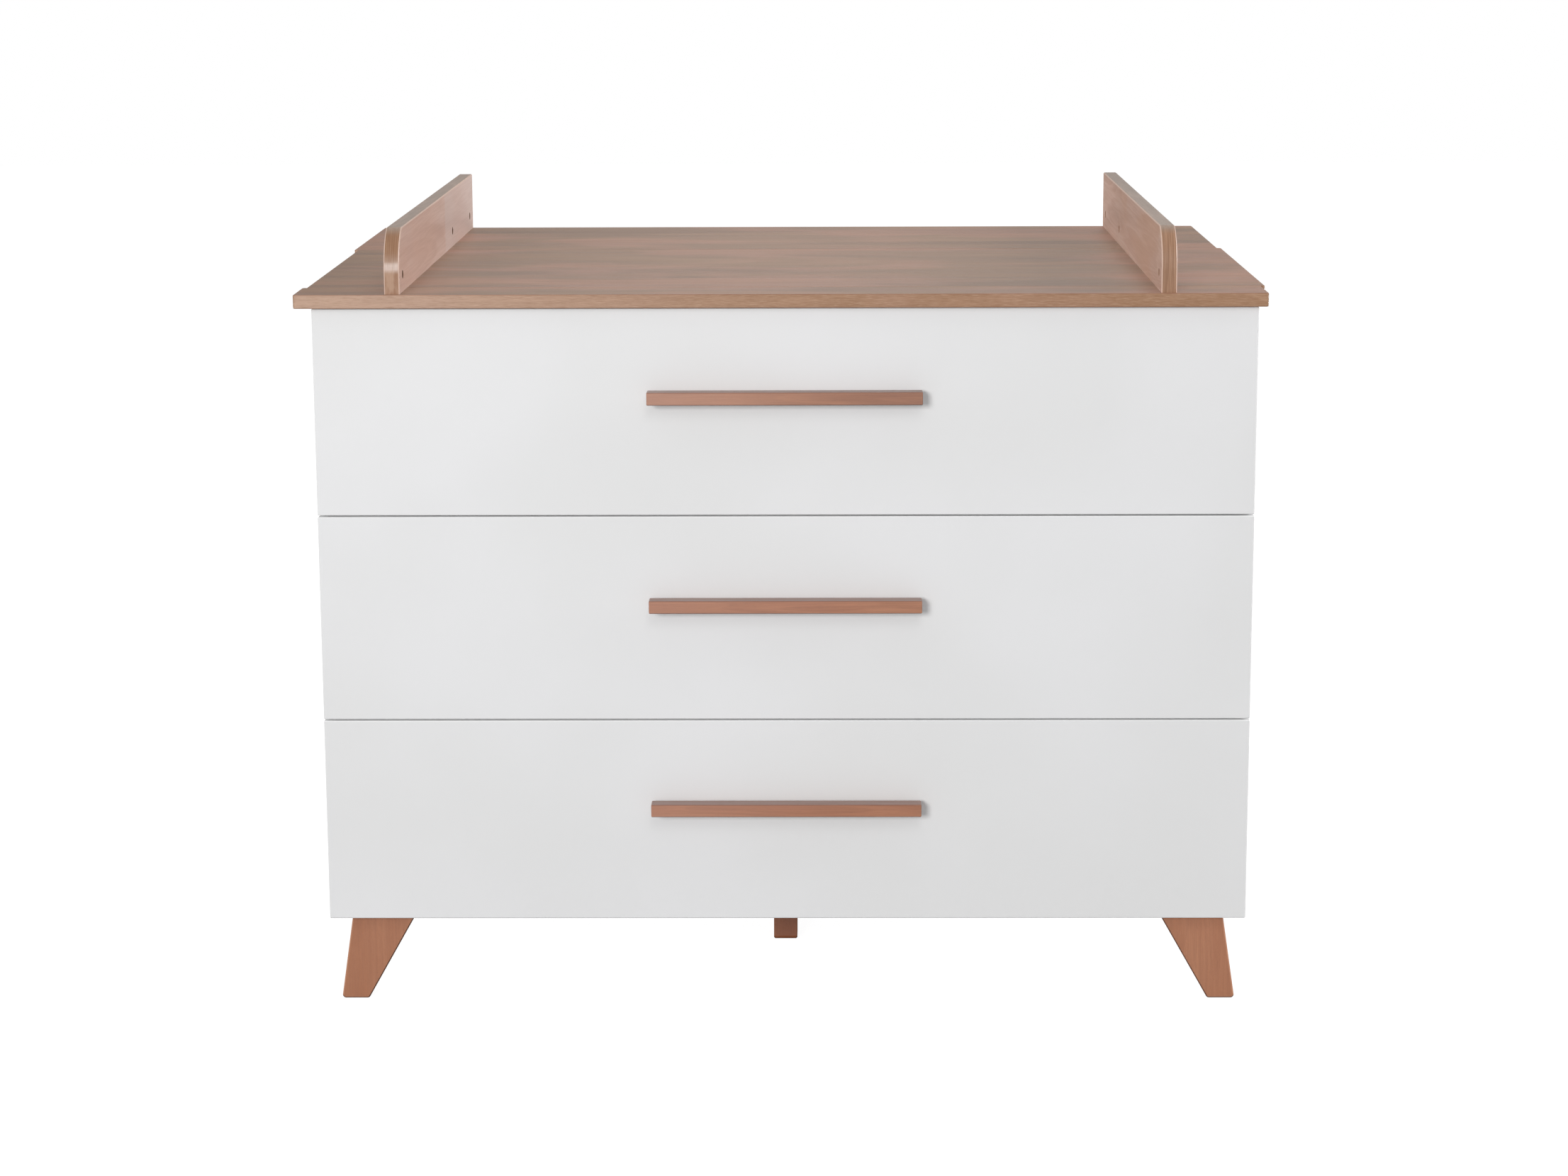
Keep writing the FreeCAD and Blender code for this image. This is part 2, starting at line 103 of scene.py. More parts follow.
def makeLamp(name, lamp, aim):
    light = bpy.data.lights.new(name, "AREA")
    light.shape = "SQUARE"
    light.size = lamp["size"]
    light.energy = lamp["power"]
    holder = bpy.data.objects.new(name, light)
    holder.location = lamp["place"]
    toward = Vector(lamp.get("aim", aim)) - Vector(lamp["place"])
    holder.rotation_euler = toward.to_track_quat("-Z", "Y").to_euler()
    scene.collection.objects.link(holder)


def makeRoom(settings):
    # a white background for the camera, a dimmer room for the light on the dresser
    world = bpy.data.worlds.new("paleRoom")
    scene.world = world
    world.use_nodes = True
    tree = world.node_tree
    tree.nodes.clear()
    output = tree.nodes.new("ShaderNodeOutputWorld")
    mixer = tree.nodes.new("ShaderNodeMixShader")
    paths = tree.nodes.new("ShaderNodeLightPath")
    room = tree.nodes.new("ShaderNodeBackground")
    seen = tree.nodes.new("ShaderNodeBackground")
    room.inputs["Color"].default_value = settings["roomColour"]
    room.inputs["Strength"].default_value = settings["roomLight"]
    seen.inputs["Color"].default_value = white
    seen.inputs["Strength"].default_value = settings["backgroundLight"]
    tree.links.new(paths.outputs["Is Camera Ray"], mixer.inputs[0])
    tree.links.new(room.outputs[0], mixer.inputs[1])
    tree.links.new(seen.outputs[0], mixer.inputs[2])
    tree.links.new(mixer.outputs[0], output.inputs[0])


def makeFloor(settings):
    # glows white for the camera alone, so that it throws no extra light on the legs
    bm = bmesh.new()
    bmesh.ops.create_grid(bm, x_segments=1, y_segments=1, size=settings["floorSize"] / 2)
    mesh = bpy.data.meshes.new("paleFloor")
    bm.to_mesh(mesh)
    bm.free()
    floor = bpy.data.objects.new("paleFloor", mesh)
    scene.collection.objects.link(floor)
    finish = bpy.data.materials.new("paleFloorFinish")
    finish.use_nodes = True
    tree = finish.node_tree
    shader = tree.nodes["Principled BSDF"]
    shader.inputs["Base Color"].default_value = settings["floorColour"]
    shader.inputs["Roughness"].default_value = settings["floorRoughness"]
    shader.inputs["Specular IOR Level"].default_value = settings["floorSpecular"]
    shader.inputs["Emission Color"].default_value = white
    shader.inputs["Emission Strength"].default_value = settings["floorGlow"]
    bounce = tree.nodes.new("ShaderNodeBsdfDiffuse")
    bounce.inputs["Color"].default_value = settings["floorBounce"]
    mixer = tree.nodes.new("ShaderNodeMixShader")
    paths = tree.nodes.new("ShaderNodeLightPath")
    tree.links.new(paths.outputs["Is Camera Ray"], mixer.inputs[0])
    tree.links.new(bounce.outputs[0], mixer.inputs[1])
    tree.links.new(shader.outputs[0], mixer.inputs[2])
    tree.links.new(mixer.outputs[0], tree.nodes["Material Output"].inputs["Surface"])
    mesh.materials.append(finish)


makeCamera(photoCamera)
scene.view_settings.view_transform = "Standard"
makeRoom(studio)
for name, lamp in studio["lamps"].items():
    makeLamp(name, lamp, studio["aim"])
makeFloor(studio)
print("camera and studio ready")


# Small tools for node trees

def feed(tree, node, inputs):
    # each input takes another node's output or a fixed value
    for name, value in inputs.items():
        socket = node.inputs[name]
        if isinstance(value, bpy.types.NodeSocket):
            tree.links.new(value, socket)
        else:
            socket.default_value = value


def addNode(tree, kind, settings=None, inputs=None):
    node = tree.nodes.new(kind)
    for name, value in (settings or {}).items():
        setattr(node, name, value)
    feed(tree, node, inputs or {})
    return node


def calculate(tree, operation, first, second=0.0):
    return addNode(tree, "ShaderNodeMath", {"operation": operation}, {0: first, 1: second}).outputs[0]


def multiply(tree, first, second):
    return calculate(tree, "MULTIPLY", first, second)


def ramp(tree, value, low, high, start=0.0, end=1.0):
    # value from low to high becomes start to end, held at both ends
    node = addNode(tree, "ShaderNodeMapRange", {"interpolation_type": "SMOOTHSTEP"},
                   {"Value": value, "From Min": low, "From Max": high, "To Min": start, "To Max": end})
    return node.outputs[0]


def mixColour(tree, share, first, second):
    node = addNode(tree, "ShaderNodeMix", {"data_type": "RGBA", "blend_type": "MIX", "clamp_factor": True},
                   {0: share, 6: first, 7: second})
    return node.outputs[2]


def noise(tree, vector, scale, detail=2.0, roughness=0.5, distortion=0.0):
    node = addNode(tree, "ShaderNodeTexNoise", {"noise_dimensions": "3D"},
                   {"Vector": vector, "Scale": scale, "Detail": detail, "Roughness": roughness,
                    "Distortion": distortion})
    return node.outputs[0]


def stretched(tree, vector, scale, offset):
    node = addNode(tree, "ShaderNodeMapping", {"vector_type": "POINT"},
                   {"Vector": vector, "Scale": scale, "Location": offset})
    return node.outputs[0]


def shifted(tree, vector, offset):
    return stretched(tree, vector, (1, 1, 1), offset)


def layerNoise(tree, vector, layer, scale=None):
    # a noise on a stretched point; a layer without a scale of its own is handed one
    point = stretched(tree, vector, layer["stretch"], layer["offset"])
    values = layer["noise"] if scale is None else {**layer["noise"], "scale": scale}
    return noise(tree, point, **values)


def newGroup(name, inputs, outputs):
    group = bpy.data.node_groups.new(name, "ShaderNodeTree")
    for label, kind, value in inputs:
        socket = group.interface.new_socket(label, in_out="INPUT", socket_type=kind)
        if value is not None:
            socket.default_value = value
    for label, kind in outputs:
        group.interface.new_socket(label, in_out="OUTPUT", socket_type=kind)
    return group, group.nodes.new("NodeGroupInput"), group.nodes.new("NodeGroupOutput")


def useGroup(tree, group, inputs):
    return addNode(tree, "ShaderNodeGroup", {"node_tree": group}, inputs)


def newMaterial(name):
    material = bpy.data.materials.new(name)
    material.use_nodes = True
    tree = material.node_tree
    return material, tree, tree.nodes["Principled BSDF"]


def objectPoint(tree):
    return addNode(tree, "ShaderNodeTexCoord").outputs["Object"]


def objectAxes(tree):
    # where on the object, as separate X, Y and Z
    return addNode(tree, "ShaderNodeSeparateXYZ", None, {0: objectPoint(tree)}).outputs


def normalAxes(tree):
    # which way the face looks, as separate X, Y and Z
    normal = addNode(tree, "ShaderNodeTexCoord").outputs["Normal"]
    return addNode(tree, "ShaderNodeSeparateXYZ", None, {0: normal}).outputs


def turned(tree, vector, order):
    # the same point with its axes in another order, such as "YXZ"
    split = addNode(tree, "ShaderNodeSeparateXYZ", None, {0: vector}).outputs
    inputs = {place: split[axis] for place, axis in enumerate(order)}
    return addNode(tree, "ShaderNodeCombineXYZ", None, inputs).outputs[0]


def facing(tree, axis, low=0.90, high=0.95):
    # 1 where the face looks along the axis, either way
    return ramp(tree, calculate(tree, "ABSOLUTE", normalAxes(tree)[axis]), low, high)


brokenEdge = {"least": 0.3, "most": 0.95, "soft": 0.05}  # how much of the normal is along the axis


def leaning(tree, axis):
    # 1 where the face's normal is partly along the axis, as on a broken edge
    low, high, soft = brokenEdge["least"], brokenEdge["most"], brokenEdge["soft"]
    share = calculate(tree, "ABSOLUTE", normalAxes(tree)[axis])
    return multiply(tree, ramp(tree, share, low, low + soft), ramp(tree, share, high - soft, high, 1.0, 0.0))


def bumpFrom(tree, height, distance, strength):
    inputs = {"Height": height, "Distance": distance, "Strength": strength}
    return addNode(tree, "ShaderNodeBump", None, inputs).outputs[0]


def colour(code):
    # a colour written as on a paint card, turned into the shader's linear values
    parts = [int(code[i:i + 2], 16) / 255 for i in (1, 3, 5)]
    return tuple(p / 12.92 if p <= 0.04045 else ((p + 0.055) / 1.055) ** 2.4 for p in parts) + (1,)


# Below, a range or fade is where it starts and ends, then its value at the start and at the end
# if these aren't 0 and 1. Heights and lengths are in metres.

noiseRange = (0.3, 0.7)  # most values of a noise lie in it
maskRange = (0.0, 1.0)


# Wood figure shared by the decor foil and the stained beech.
# The vector runs along the grain on X, across it on Y, in metres.

woodPattern = {
    "tone": {
        "stretch": (1.3, 16, 16), "offset": (0, 0, 0),
        "noise": {"scale": 1.0, "detail": 3.0, "roughness": 0.55, "distortion": 0.4},
        "range": (0.34, 0.66),
    },
    "patch": {
        "stretch": (3.2, 7.5, 7.5), "offset": (3.1, 1.7, 0.4),
        "noise": {"scale": 1.0, "detail": 2.5, "roughness": 0.5, "distortion": 0.5},
        "range": (0.42, 0.60),
    },
    "fibre": {
        "stretch": (0.03, 1, 1), "offset": (0, 0, 0),
        "noise": {"detail": 3.0, "roughness": 0.62, "distortion": 0.0},
        "range": (0.30, 0.70),
    },
    "rings": {
        "stretch": (0.17, 1.9, 1.9), "offset": (0.2, 5.3, 1.1),
        "noise": {"detail": 1.2, "roughness": 0.45, "distortion": 0.20},
        "lines": 13.0,
        "rise": (0.0, 0.72),
        "fall": (0.86, 1.0, 1.0, 0.0),
    },
    "pores": {
        "stretch": (0.050, 1, 1), "offset": (7, 2, 9),
        "noise": {"scale": 2300.0, "detail": 2.0, "roughness": 0.5, "distortion": 0.0},
        "range": (0.56, 0.74),
    },
}


def makeWoodFigure():
    group, source, target = newGroup(
        "woodFigure",
        [("Vector", "NodeSocketVector", None), ("Ring Scale", "NodeSocketFloat", 9.0),
         ("Fibre Scale", "NodeSocketFloat", 420.0)],
        [("Tone", "NodeSocketFloat"), ("Patch", "NodeSocketFloat"), ("Fibre", "NodeSocketFloat"),
         ("Rings", "NodeSocketFloat"), ("Pores", "NodeSocketFloat")])
    vector = source.outputs["Vector"]
    tone = layerNoise(group, vector, woodPattern["tone"])
    patch = layerNoise(group, vector, woodPattern["patch"])
    fibre = layerNoise(group, vector, woodPattern["fibre"], scale=source.outputs["Fibre Scale"])
    pores = layerNoise(group, vector, woodPattern["pores"])
    # flame lines: level lines of a field that is long along the grain
    rings = woodPattern["rings"]
    field = layerNoise(group, vector, rings, scale=source.outputs["Ring Scale"])
    lines = calculate(group, "FRACT", multiply(group, field, rings["lines"]))
    feed(group, target, {
        "Tone": ramp(group, tone, *woodPattern["tone"]["range"]),
        "Patch": ramp(group, patch, *woodPattern["patch"]["range"]),
        "Fibre": ramp(group, fibre, *woodPattern["fibre"]["range"]),
        "Rings": multiply(group, ramp(group, lines, *rings["rise"]), ramp(group, lines, *rings["fall"])),
        "Pores": ramp(group, pores, *woodPattern["pores"]["range"]),
    })
    return group


woodFigure = makeWoodFigure()


def woodFace(tree, point, scales):
    return useGroup(tree, woodFigure, {"Vector": point, **scales})


def woodColour(tree, figure, tones, amounts):
    # quiet base between two tones, then patches, flame lines, fibres and pores over it
    base = mixColour(tree, figure.outputs["Tone"], tones["dark"], tones["pale"])
    for layer, tone in (("Patch", "patch"), ("Rings", "line"), ("Fibre", "line"), ("Pores", "pore")):
        share = multiply(tree, figure.outputs[layer], amounts[layer.lower()])
        base = mixColour(tree, share, base, tones[tone])
    return base


print("wood figure ready")


# Wood-grain foil on the three boards: greyed on the flat, warmer on its edge bands, with a painted sheen on
# the edges and a painted glare on the flat

boardLook = {
    "flat": {"dark": colour("#8C6D56"), "pale": colour("#A28167"), "patch": colour("#BC8974"),
             "line": colour("#7A5C46"), "pore": colour("#705040")},
    "edge": {"dark": colour("#A47E62"), "pale": colour("#BA9479"), "patch": colour("#B58F7B"),
             "line": colour("#8A6446"), "pore": colour("#CCAC94")},
    "end": {"dark": colour("#9C7459"), "pale": colour("#B28B71"), "patch": colour("#AC846F"),
            "line": colour("#83603F"), "pore": colour("#C2A18A")},
    "cuts": {"front_strip": (0.93, 0.37, 0), "dresser_top": (1.37, 0.51, 0), "rear_board": (2.91, 1.13, 0)},
    "flatScales": {"Ring Scale": 5.0, "Fibre Scale": 300.0},
    "edgeScales": {"Ring Scale": 16.0, "Fibre Scale": 900.0},
    "flatAmounts": {"patch": 0.60, "rings": 0.16, "fibre": 0.34, "pores": 0.26},
    "edgeAmounts": {"patch": 0.45, "rings": 0.22, "fibre": 0.42, "pores": 0.30},
    "paintedSheen": colour("#CFB3A3"),
    "paintedSheenAlong": (-0.60, 0.20, 0.38, 0.0),  # painted sheen of the light from the left, on the front edges, from the left end
    # pale glare of the lamps, painted on the flat
    "paintedGlare": colour("#C9A592"),
    "paintedGlareAcross": (0.05, 0.42, 1.0, 0.0),  # painted glare of the lamps on the flat, out from the middle
    "paintedGlareBack": (-0.30, 0.25, 0.45, 1.0),  # and from the front to the back
    "paintedGlareShare": 0.16,
    "dash": {"stretch": (0.045, 1, 1), "offset": (1, 4, 2),
             "noise": {"scale": 1800.0, "detail": 2.0, "roughness": 0.55}},
    "darkDash": (0.52, 0.66, 0.0, 0.36),
    "paleDash": (0.34, 0.48, 0.32, 0.0),
    "corner": (0.5, 0.7),  # how far a face has turned when the next foil takes over
    "seam": colour("#8F6350"),
    "seamShare": 0.42,
    "roughness": (0.38, 0.48),
    "specular": 0.28,
    "poreDepth": 1.6,
    "bump": {"distance": 0.00004, "strength": 0.5},
}


def makeBoardFinish(name, cut):
    look = boardLook
    material, tree, shader = newMaterial(name)
    point = shifted(tree, objectPoint(tree), cut)
    flat = woodFace(tree, point, look["flatScales"])
    edge = woodFace(tree, turned(tree, point, "XZY"), look["edgeScales"])
    end = woodFace(tree, turned(tree, point, "YZX"), look["edgeScales"])
    place = objectAxes(tree)
    onFlat = woodColour(tree, flat, look["flat"], look["flatAmounts"])
    # painted glare: the flat paler in the middle and towards the back, where the lamps' reflection lies
    inward = ramp(tree, calculate(tree, "ABSOLUTE", place["X"]), *look["paintedGlareAcross"])
    backward = ramp(tree, place["Y"], *look["paintedGlareBack"])
    paintedGlare = multiply(tree, multiply(tree, inward, backward), look["paintedGlareShare"])
    onFlat = mixColour(tree, paintedGlare, onFlat, look["paintedGlare"])
    onEdge = woodColour(tree, edge, look["edge"], look["edgeAmounts"])
    # painted sheen: the front edges paler towards the left end, as if lit from the left
    onEdge = mixColour(tree, ramp(tree, place["X"], *look["paintedSheenAlong"]), onEdge, look["paintedSheen"])
    dash = layerNoise(tree, turned(tree, point, "XZY"), look["dash"])
    onEdge = mixColour(tree, ramp(tree, dash, *look["darkDash"]), onEdge, look["edge"]["line"])
    onEdge = mixColour(tree, ramp(tree, dash, *look["paleDash"]), onEdge, look["edge"]["pore"])
    onEnd = woodColour(tree, end, look["end"], look["edgeAmounts"])
    base = mixColour(tree, facing(tree, "Y", *look["corner"]), onFlat, onEdge)
    base = mixColour(tree, facing(tree, "X", *look["corner"]), base, onEnd)
    base = mixColour(tree, multiply(tree, leaning(tree, "Z"), look["seamShare"]), base, look["seam"])
    pores = multiply(tree, flat.outputs["Pores"], look["poreDepth"])
    height = calculate(tree, "SUBTRACT", flat.outputs["Fibre"], pores)
    feed(tree, shader, {
        "Base Color": base,
        "Roughness": ramp(tree, flat.outputs["Tone"], *maskRange, *look["roughness"]),
        "Specular IOR Level": look["specular"],
        "Normal": bumpFrom(tree, height, **look["bump"]),
    })
    return material


# Solid-looking foil on the rails: flame grain on the sides, upright grain on the front band

railLook = {
    # the sides' pale pinkish print, made paler still as painted light on the side faces
    "side": {"dark": colour("#DFBCAE"), "pale": colour("#F0D5C9"), "patch": colour("#E8C3B2"),
             "line": colour("#BD8F78"), "pore": colour("#CBA592")},
    "top": {"dark": colour("#93806F"), "pale": colour("#A99383"), "patch": colour("#B59A8B"),
            "line": colour("#7F6A5C"), "pore": colour("#C3AA9B")},
    "front": {"dark": colour("#A57E61"), "pale": colour("#BB947A"), "patch": colour("#AE8567"),
              "line": colour("#7A553C"), "pore": colour("#C6A68D")},
    "sideFibre": 420.0,
    "topScales": {"Ring Scale": 14.0, "Fibre Scale": 520.0},
    "frontScales": {"Ring Scale": 42.0, "Fibre Scale": 620.0},
    "frontStretch": 0.3,
    "sideAmounts": {"patch": 0.5, "fibre": 0.26, "pores": 0.30},
    "topAmounts": {"patch": 0.4, "rings": 0.25, "fibre": 0.35, "pores": 0.30},
    "frontAmounts": {"patch": 0.5, "rings": 0.45, "fibre": 0.50, "pores": 0.40},
    "leftRail": {"cut": (0, 0, 0), "rings": 0.13, "ringScale": 7.5, "smearAndHighlight": 1.0, "aged": 0.0, "faded": 0.34},
    "rightRail": {"cut": (0.4, 1.23, 0.31), "rings": 0.24, "ringScale": 12.0, "smearAndHighlight": 0.0, "aged": 0.22,
                  "faded": 0.0},
    "aged": colour("#D6A985"),
    "agedPatch": 1.6,  # times the share where the foil has a patch
    "faded": colour("#E9DCD8"),
    "fadedStart": (0.071, 0.079),  # the print starts anew behind the middle bolt
    # painted highlight: paler broken edges along the rail
    "arris": colour("#E2C5B5"),
    "arrisHighlightShare": 0.8,
    "topTurn": (0.75, 0.97),
    "sideTurn": (0.90, 0.97),
    "roughness": (0.36, 0.46),
    "specular": 0.4,
    "ringDepth": 0.8,
    "bump": {"distance": 0.00004, "strength": 0.5},
}

noseSmearAndHighlight = {
    "reach": (-0.25, -0.15),  # only at the front end
    "low": colour("#C09C83"),
    "lowHeight": (0.893, 0.898, 1.0, 0.0),
    "lowShare": 0.55,
    "smear": colour("#94694C"),
    "smears": {"stretch": (1, 0, 0.40), "offset": (0.003, 0, 0.2),
               "noise": {"scale": 58.0, "detail": 3.0, "roughness": 0.6, "distortion": 0.4}},
    "smearRange": (0.47, 0.60),
    "smearShare": 0.8,
    # pale colour of a painted highlight where the nose starts to curve
    "paintedHighlight": colour("#D9C3B8"),
    "paintedHighlightRise": (0.889, 0.896),
    "paintedHighlightFall": (0.899, 0.905, 1.0, 0.0),
    "streaks": {"stretch": (1, 0, 0.05), "offset": (0, 0, 0),
                "noise": {"scale": 420.0, "detail": 2.0, "roughness": 0.6}},
    "streakRange": (0.2, 0.6, 0.5, 1.0),
    "paintedHighlightShare": 0.75,
}


def bandPoint(tree, vector, stretch):
    # runs up a face and on over the curve above it, so that upright grain stays in line
    split = addNode(tree, "ShaderNodeSeparateXYZ", None, {0: vector}).outputs
    along = multiply(tree, calculate(tree, "ADD", split["Z"], split["Y"]), stretch)
    return addNode(tree, "ShaderNodeCombineXYZ", None, {"X": along, "Y": split["X"]}).outputs[0]


def smearedAndHighlightedFront(tree, base, amount):
    # the front band of a rail: a painted highlight where the nose starts, paler and smeared with brown below
    # it
    bandLook = noseSmearAndHighlight
    point = objectPoint(tree)
    place = addNode(tree, "ShaderNodeSeparateXYZ", None, {0: point}).outputs
    amount = ramp(tree, place["Y"], *bandLook["reach"], amount, 0.0)
    low = ramp(tree, place["Z"], *bandLook["lowHeight"])
    paler = multiply(tree, multiply(tree, low, bandLook["lowShare"]), amount)
    base = mixColour(tree, paler, base, bandLook["low"])
    smear = ramp(tree, layerNoise(tree, point, bandLook["smears"]), *bandLook["smearRange"])
    smear = multiply(tree, multiply(tree, low, smear), bandLook["smearShare"])
    base = mixColour(tree, multiply(tree, smear, amount), base, bandLook["smear"])
    # painted highlight: a pale streaked band where the nose starts
    rise = ramp(tree, place["Z"], *bandLook["paintedHighlightRise"])
    fall = ramp(tree, place["Z"], *bandLook["paintedHighlightFall"])
    streaks = ramp(tree, layerNoise(tree, point, bandLook["streaks"]), *bandLook["streakRange"])
    paintedHighlight = multiply(tree, multiply(tree, multiply(tree, rise, fall), streaks), bandLook["paintedHighlightShare"])
    return mixColour(tree, multiply(tree, paintedHighlight, amount), base, bandLook["paintedHighlight"])


def makeRailFinish(name, rail):
    look = railLook
    material, tree, shader = newMaterial(name)
    point = shifted(tree, objectPoint(tree), rail["cut"])
    sideScales = {"Ring Scale": rail["ringScale"], "Fibre Scale": look["sideFibre"]}
    side = woodFace(tree, turned(tree, point, "YZX"), sideScales)
    top = woodFace(tree, turned(tree, point, "YXZ"), look["topScales"])
    front = woodFace(tree, bandPoint(tree, point, look["frontStretch"]), look["frontScales"])
    onSide = woodColour(tree, side, look["side"], {**look["sideAmounts"], "rings": rail["rings"]})
    aged = ramp(tree, side.outputs["Patch"], *maskRange, rail["aged"], rail["aged"] * look["agedPatch"])
    onSide = mixColour(tree, aged, onSide, look["aged"])
    faded = ramp(tree, objectAxes(tree)["Y"], *look["fadedStart"], 0.0, rail["faded"])
    onSide = mixColour(tree, faded, onSide, look["faded"])
    onTop = woodColour(tree, top, look["top"], look["topAmounts"])
    onFront = woodColour(tree, front, look["front"], look["frontAmounts"])
    onFront = smearedAndHighlightedFront(tree, onFront, rail["smearAndHighlight"])
    base = mixColour(tree, ramp(tree, normalAxes(tree)["Z"], *look["topTurn"]), onFront, onTop)
    base = mixColour(tree, facing(tree, "X", *look["sideTurn"]), base, onSide)
    # painted highlight on the broken edges
    base = mixColour(tree, multiply(tree, leaning(tree, "X"), look["arrisHighlightShare"]), base, look["arris"])
    rings = multiply(tree, side.outputs["Rings"], look["ringDepth"])
    height = calculate(tree, "SUBTRACT", side.outputs["Fibre"], rings)
    feed(tree, shader, {
        "Base Color": base,
        "Roughness": ramp(tree, side.outputs["Tone"], *maskRange, *look["roughness"]),
        "Specular IOR Level": look["specular"],
        "Normal": bumpFrom(tree, height, **look["bump"]),
    })
    return material


# Stained beech of the legs and handles

beechLook = {
    # each piece's arris colour is painted light on its upper broken edges: paler on the legs, darker on the
    # handles
    "handle": {"dark": colour("#A0694E"), "pale": colour("#BE8566"), "patch": colour("#B0765D"),
               "line": colour("#7E4F3A"), "pore": colour("#6E4331"), "arris": colour("#7C5647")},
    # the legs' stain in paler tones than the handles', as painted light
    "leg": {"dark": colour("#AF7556"), "pale": colour("#C68D6C"), "patch": colour("#B67B5D"),
            "line": colour("#99644A"), "pore": colour("#8C583F"), "arris": colour("#D39B7C")},
    # darker tones: painted shade, as the centre leg stands in the shade under the dresser
    "centreLeg": {"dark": colour("#935332"), "pale": colour("#A86642"), "patch": colour("#9A5A38"),
                  "line": colour("#80482B"), "pore": colour("#753F25"), "arris": colour("#B4744F")},
    "cuts": {"leg": (0, 0.7, 0), "centreLeg": (0, 0.9, 0), "handle": (0.3, 0, 0)},
    "scales": {"Ring Scale": 15.0, "Fibre Scale": 520.0},
    "amounts": {"patch": 0.55, "rings": 0.18, "fibre": 0.26, "pores": 0.26},
    "upward": (-0.05, 0.05),
    "upperEdgeShadingShare": 0.6,
    "downward": (-0.30, -0.20, 1.0, 0.0),
    "shaded": colour("#4E2F22"),
    "shadedShare": 0.7,
    "roughness": (0.38, 0.50),
    "coat": 0.15,
    "coatRoughness": 0.3,
    "bump": {"distance": 0.00006, "strength": 0.6},
}

handleLook = {
    "paintedSheen": colour("#D0A693"),
    "paintedSheenAlong": (-0.18, 0.12, 0.40, 0.0),  # painted sheen of the light from the left, fading towards the right
    "paintedSheenUp": (0.45, 0.75, 0.45, 1.0),  # and from the top handle to the bottom one
    "shade": colour("#6C5048"),
    "shadeUp": (0.35, 0.75),
    "shadeAlong": (-0.12, 0.16, 0.12, 0.42),
    # grey of a painted reflection on the top
    "top": colour("#7E6862"),
    "topReflectionShare": 0.75,
}


def handleTones(tree, base):
    # painted sheen paler to the left, painted shade darker to the right and higher up, a painted reflection
    # greying the top
    look = handleLook
    place = objectAxes(tree)
    x, z = place["X"], place["Z"]
    paintedSheen = multiply(tree, ramp(tree, x, *look["paintedSheenAlong"]), ramp(tree, z, *look["paintedSheenUp"]))
    base = mixColour(tree, paintedSheen, base, look["paintedSheen"])
    shade = multiply(tree, ramp(tree, z, *look["shadeUp"]), ramp(tree, x, *look["shadeAlong"]))
    base = mixColour(tree, shade, base, look["shade"])
    # painted reflection greying the faces along Z, the top above all
    return mixColour(tree, multiply(tree, facing(tree, "Z"), look["topReflectionShare"]), base, look["top"])


def makeBeechFinish(name, piece, grain, leanAxis):
    # grain: the axis that the grain follows, then the others; leanAxis: the one across its broken edges
    look = beechLook
    material, tree, shader = newMaterial(name)
    point = shifted(tree, turned(tree, objectPoint(tree), grain), look["cuts"][piece])
    figure = woodFace(tree, point, look["scales"])
    base = woodColour(tree, figure, look[piece], look["amounts"])
    if piece == "handle":
        base = handleTones(tree, base)
    broken = leaning(tree, leanAxis)
    upright = normalAxes(tree)["Z"]
    # painted light on the broken edges that face up: a highlight on the legs, a shade on the handles
    above = multiply(tree, broken, ramp(tree, upright, *look["upward"]))
    base = mixColour(tree, multiply(tree, above, look["upperEdgeShadingShare"]), base, look[piece]["arris"])
    below = multiply(tree, broken, ramp(tree, upright, *look["downward"]))
    base = mixColour(tree, multiply(tree, below, look["shadedShare"]), base, look["shaded"])
    height = calculate(tree, "SUBTRACT", figure.outputs["Fibre"], figure.outputs["Pores"])
    feed(tree, shader, {
        "Base Color": base,
        "Roughness": ramp(tree, figure.outputs["Fibre"], *maskRange, *look["roughness"]),
        "Coat Weight": look["coat"],
        "Coat Roughness": look["coatRoughness"],
        "Normal": bumpFrom(tree, height, **look["bump"]),
    })
    return material


# White laminate: cool white with the faint pearl texture of a pressed foil

whiteLook = {
    "clean": colour("#E9E9EA"),
    "dull": colour("#E5E5E5"),
    # whiter broken edges and edge faces: a white edge band, made whiter still as painted light in the gaps
    # between the fronts
    "arris": colour("#F0F0F0"),
    "edge": colour("#F7F7F7"),
    "cuts": {"fronts": (0, 0, 0), "panels": (3, 1, 2)},
    "cloud": {"scale": 3.0},
    "pearl": {"scale": 900.0},
    "smear": {"scale": 14.0, "detail": 3.0, "roughness": 0.55},
    "roughness": (0.37, 0.45),
    "specular": 0.4,
    "bump": {"distance": 0.00003, "strength": 0.45},
}


def makeWhiteFinish(name, cut):
    look = whiteLook
    material, tree, shader = newMaterial(name)
    point = shifted(tree, objectPoint(tree), cut)
    cloud = ramp(tree, noise(tree, point, **look["cloud"]), *noiseRange)
    base = mixColour(tree, cloud, look["clean"], look["dull"])
    # partly painted light: whiter broken edges and edge faces lighten the gaps
    broken = calculate(tree, "MAXIMUM", leaning(tree, "X"), leaning(tree, "Z"))
    base = mixColour(tree, broken, base, look["arris"])
    base = mixColour(tree, facing(tree, "Z"), base, look["edge"])
    feed(tree, shader, {
        "Base Color": base,
        "Roughness": ramp(tree, noise(tree, point, **look["smear"]), *noiseRange, *look["roughness"]),
        "Specular IOR Level": look["specular"],
        "Normal": bumpFrom(tree, noise(tree, point, **look["pearl"]), **look["bump"]),
    })
    return material


# Thin painted board of the back and the drawer floors: a little duller, with a faint pressed weave

